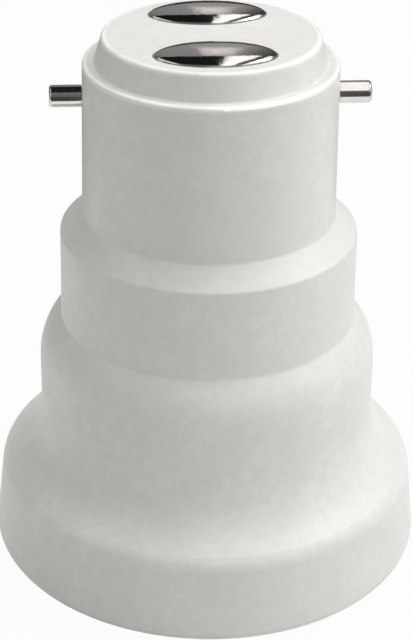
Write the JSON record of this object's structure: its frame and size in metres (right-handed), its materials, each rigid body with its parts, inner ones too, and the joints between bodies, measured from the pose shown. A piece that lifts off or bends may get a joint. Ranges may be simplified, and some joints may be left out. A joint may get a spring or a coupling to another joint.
{
  "type": "lamp socket adapter",
  "caption": "Stepped white lamp adapter: a bayonet cap with side pins and domed oval contacts at the top, and a flared screw-lamp socket with a sprung centre contact below.",
  "frame": {"origin": "centre of the plane of the socket's mouth, on the lamp axis", "axes": "+Z along the lamp axis from the screw socket's mouth to the bayonet contacts, +X through the right bayonet pin"},
  "size_m": [0.039, 0.039, 0.0488],
  "materials": {
    "white_moulding": "matt moulded white",
    "base_moulding": "matt moulded off-white",
    "polished_nickel": "polished nickel plate",
    "shell_sheet": "nickel-plated sheet",
    "spring_strip": "rolled bronze strip",
    "rivet_brass": "plain brass",
    "lead_covering": "white insulated wire, tinned ends"
  },
  "bodies": {
    "adapter": {"housing": "white_moulding", "bayonet_pin_left": "polished_nickel", "bayonet_pin_right": "polished_nickel", "contact_pad_front": "polished_nickel", "contact_pad_rear": "polished_nickel", "socket_base": "base_moulding", "screw_shell": "shell_sheet", "centre_rivet": "rivet_brass", "shell_rivets": "rivet_brass", "centre_lead": "lead_covering", "shell_lead": "lead_covering"},
    "centre_contact": {"centre_contact": "spring_strip"}
  },
  "joints": [
    {"name": "centre_contact_flex", "type": "hinge", "parent": "adapter", "child": "centre_contact", "pos_m": [-0.00305, 0, 0.0219], "axis": [0, -1, 0], "range_deg": [0, 12], "stiffness_Nm_per_rad": 0.15, "deforming": ["centre_contact"]}
  ]
}
